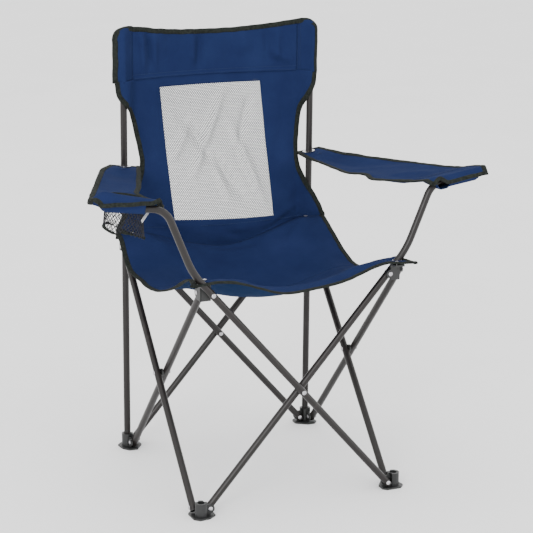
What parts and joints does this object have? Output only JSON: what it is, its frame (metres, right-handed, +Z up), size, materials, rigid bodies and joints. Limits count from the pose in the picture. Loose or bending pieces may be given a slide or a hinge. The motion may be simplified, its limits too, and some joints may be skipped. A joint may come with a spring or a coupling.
{
  "type": "folding camp chair",
  "caption": "Folding camp chair: a scissor frame of steel tube with sling seat, mesh-panelled back, fabric armrests and a net cup holder.",
  "frame": {"origin": "on the floor under the middle of the chair's outline", "axes": "+X is the sitter's left, -Y is the front, +Z is up; left and right in the names are the sitter's"},
  "size_m": [0.7742, 0.4578, 0.829],
  "materials": {
    "coated_tube": "satin powder coat, dark brown-grey",
    "moulded_plastic": "black, moulded, slightly textured",
    "rivet_steel": "bright zinc-plated steel",
    "eyelet_metal": "nickel-plated, polished",
    "woven_fabric": "navy woven polyester with a dull sheen",
    "mesh_fabric": "light grey open knit mesh",
    "net_fabric": "black knitted net with a taped rim"
  },
  "bodies": {
    "rear_right_post": {"foot_rear_right": "moulded_plastic", "foot_rivets_rear_right": "rivet_steel", "post_right": "coated_tube", "post_cap_right": "moulded_plastic", "back_pocket_right": "woven_fabric"},
    "rear_left_post": {"foot_rear_left": "moulded_plastic", "foot_rivets_rear_left": "rivet_steel", "post_left": "coated_tube", "post_cap_left": "moulded_plastic", "back_pocket_left": "woven_fabric", "back_panel": "woven_fabric", "back_mesh": "mesh_fabric", "back_band": "woven_fabric"},
    "rear_outer_tube": {"rear_tube_outer": "coated_tube", "rear_outer_plugs": "moulded_plastic", "rear_cross_rivet": "rivet_steel", "rear_cross_spacer": "moulded_plastic"},
    "rear_inner_tube": {"rear_tube_inner": "coated_tube", "rear_inner_plugs": "moulded_plastic"},
    "slider_left": {"slider_hub_left": "moulded_plastic", "hub_rivets_rear_left": "rivet_steel"},
    "slider_right": {"slider_hub_right": "moulded_plastic", "hub_rivets_rear_right": "rivet_steel"},
    "right_inner_tube": {"right_tube_inner": "coated_tube", "right_inner_plugs": "moulded_plastic"},
    "right_outer_tube": {"right_tube_outer": "coated_tube", "right_outer_plugs": "moulded_plastic", "right_cross_rivet": "rivet_steel", "right_cross_spacer": "moulded_plastic"},
    "front_right_foot": {"foot_front_right": "moulded_plastic", "foot_rivets_front_right": "rivet_steel"},
    "front_right_hub": {"front_hub_right": "moulded_plastic", "hub_rivets_front_right": "rivet_steel"},
    "left_outer_tube": {"left_tube_outer": "coated_tube", "left_outer_plugs": "moulded_plastic", "left_cross_rivet": "rivet_steel", "left_cross_spacer": "moulded_plastic"},
    "left_inner_tube": {"left_tube_inner": "coated_tube", "left_inner_plugs": "moulded_plastic"},
    "front_left_foot": {"foot_front_left": "moulded_plastic", "foot_rivets_front_left": "rivet_steel"},
    "front_left_hub": {"front_hub_left": "moulded_plastic", "hub_rivets_front_left": "rivet_steel"},
    "right_arm_tube": {"arm_tube_right": "coated_tube", "arm_right_plugs": "moulded_plastic", "front_cross_rivet": "rivet_steel", "front_cross_spacer": "moulded_plastic"},
    "left_arm_tube": {"arm_tube_left": "coated_tube", "arm_left_plugs": "moulded_plastic"},
    "seat_front": {"seat_front_panel": "woven_fabric"},
    "seat_rear": {"seat_rear_panel": "woven_fabric"},
    "left_armrest": {"armrest_left": "woven_fabric"},
    "right_armrest": {"armrest_right": "woven_fabric", "cup_net": "net_fabric", "cup_rim": "net_fabric"},
    "left_eyelet": {"armrest_eyelet_left": "eyelet_metal"},
    "right_eyelet": {"armrest_eyelet_right": "eyelet_metal"}
  },
  "joints": [
    {"name": "fold", "type": "hinge", "parent": "rear_right_post", "child": "rear_outer_tube", "pos_m": [-0.176, 0.192, 0.014], "axis": [0, -1, 0], "range_deg": [0, 31.5], "deforming": ["seat_front_panel", "seat_rear_panel", "back_panel", "back_band", "back_mesh", "armrest_left", "armrest_right", "cup_net", "cup_rim"]},
    {"name": "rear_crossing", "type": "hinge", "parent": "rear_outer_tube", "child": "rear_inner_tube", "pos_m": [0, 0.1835, 0.214], "axis": [0, 1, 0], "range_deg": [0, 63.01]},
    {"name": "rear_left_foot_pivot", "type": "hinge", "parent": "rear_inner_tube", "child": "rear_left_post", "pos_m": [0.176, 0.175, 0.014], "axis": [0, -1, 0], "range_deg": [0, 31.51]},
    {"name": "slider_left_pivot", "type": "hinge", "parent": "rear_outer_tube", "child": "slider_left", "pos_m": [0.176, 0.192, 0.414], "axis": [0, 1, 0], "range_deg": [0, 31.51]},
    {"name": "slider_right_pivot", "type": "hinge", "parent": "rear_inner_tube", "child": "slider_right", "pos_m": [-0.176, 0.175, 0.414], "axis": [0, -1, 0], "range_deg": [0, 31.51]},
    {"name": "right_rear_foot_pivot", "type": "hinge", "parent": "rear_right_post", "child": "right_inner_tube", "pos_m": [-0.1855, 0.1655, 0.014], "axis": [-1, 0, 0], "range_deg": [0, 31.51]},
    {"name": "right_crossing", "type": "hinge", "parent": "right_inner_tube", "child": "right_outer_tube", "pos_m": [-0.194, -0.0105, 0.214], "axis": [1, 0, 0], "range_deg": [0, 63.01]},
    {"name": "front_right_foot_pivot", "type": "hinge", "parent": "right_outer_tube", "child": "front_right_foot", "pos_m": [-0.2025, -0.1865, 0.014], "axis": [-1, 0, 0], "range_deg": [0, 31.51]},
    {"name": "front_right_hub_pivot", "type": "hinge", "parent": "right_inner_tube", "child": "front_right_hub", "pos_m": [-0.1855, -0.1865, 0.414], "axis": [1, 0, 0], "range_deg": [0, 31.51]},
    {"name": "left_rear_foot_pivot", "type": "hinge", "parent": "rear_left_post", "child": "left_outer_tube", "pos_m": [0.2025, 0.1655, 0.014], "axis": [-1, 0, 0], "range_deg": [0, 31.51]},
    {"name": "left_crossing", "type": "hinge", "parent": "left_outer_tube", "child": "left_inner_tube", "pos_m": [0.194, -0.0105, 0.214], "axis": [1, 0, 0], "range_deg": [0, 63.01]},
    {"name": "front_left_foot_pivot", "type": "hinge", "parent": "left_inner_tube", "child": "front_left_foot", "pos_m": [0.1855, -0.1865, 0.014], "axis": [-1, 0, 0], "range_deg": [0, 31.51]},
    {"name": "front_left_hub_pivot", "type": "hinge", "parent": "left_outer_tube", "child": "front_left_hub", "pos_m": [0.2025, -0.1865, 0.414], "axis": [1, 0, 0], "range_deg": [0, 31.51]},
    {"name": "right_arm_pivot", "type": "hinge", "parent": "front_left_foot", "child": "right_arm_tube", "pos_m": [0.176, -0.213, 0.014], "axis": [0, 1, 0], "range_deg": [0, 31.51]},
    {"name": "left_arm_pivot", "type": "hinge", "parent": "front_right_foot", "child": "left_arm_tube", "pos_m": [-0.176, -0.196, 0.014], "axis": [0, -1, 0], "range_deg": [0, 31.51]},
    {"name": "seat_front_hang", "type": "hinge", "parent": "front_left_hub", "child": "seat_front", "pos_m": [0, -0.2005, 0.436], "axis": [-1, 0, 0], "range_deg": [0, 50.01]},
    {"name": "seat_rear_hang", "type": "hinge", "parent": "slider_left", "child": "seat_rear", "pos_m": [0, 0.1795, 0.436], "axis": [1, 0, 0], "range_deg": [0, 50.01]},
    {"name": "left_armrest_swing", "type": "hinge", "parent": "left_arm_tube", "child": "left_armrest", "pos_m": [0.33331, -0.196, 0.58339], "axis": [-0.9903, 0, -0.1392], "range_deg": [0, 47.01]},
    {"name": "right_armrest_swing", "type": "hinge", "parent": "right_arm_tube", "child": "right_armrest", "pos_m": [-0.33331, -0.213, 0.58339], "axis": [-0.9903, 0, 0.1392], "range_deg": [0, 43.18]},
    {"name": "left_eyelet_slide", "type": "slide", "parent": "rear_left_post", "child": "left_eyelet", "axis": [0, 0, 1], "range_m": [0, 0.01414]},
    {"name": "right_eyelet_slide", "type": "slide", "parent": "rear_right_post", "child": "right_eyelet", "axis": [0, 0, 1], "range_m": [0, 0.01414]}
  ],
  "couplings": [
    {"joint": "rear_crossing", "follows": "fold", "ratio": 2},
    {"joint": "rear_left_foot_pivot", "follows": "fold", "ratio": 1},
    {"joint": "slider_left_pivot", "follows": "fold", "ratio": 1},
    {"joint": "slider_right_pivot", "follows": "fold", "ratio": 1},
    {"joint": "right_rear_foot_pivot", "follows": "fold", "ratio": 1},
    {"joint": "right_crossing", "follows": "fold", "ratio": 2},
    {"joint": "front_right_foot_pivot", "follows": "fold", "ratio": 1},
    {"joint": "front_right_hub_pivot", "follows": "fold", "ratio": 1},
    {"joint": "left_rear_foot_pivot", "follows": "fold", "ratio": 1},
    {"joint": "left_crossing", "follows": "fold", "ratio": 2},
    {"joint": "front_left_foot_pivot", "follows": "fold", "ratio": 1},
    {"joint": "front_left_hub_pivot", "follows": "fold", "ratio": 1},
    {"joint": "right_arm_pivot", "follows": "fold", "ratio": 1},
    {"joint": "left_arm_pivot", "follows": "fold", "ratio": 1},
    {"joint": "seat_front_hang", "follows": "fold", "ratio": 1.5873},
    {"joint": "seat_rear_hang", "follows": "fold", "ratio": 1.5873},
    {"joint": "left_armrest_swing", "follows": "fold", "ratio": 1.4921},
    {"joint": "right_armrest_swing", "follows": "fold", "ratio": 1.3705},
    {"joint": "left_eyelet_slide", "follows": "fold", "m_per_rad": 0.025701},
    {"joint": "right_eyelet_slide", "follows": "fold", "m_per_rad": 0.025701}
  ]
}
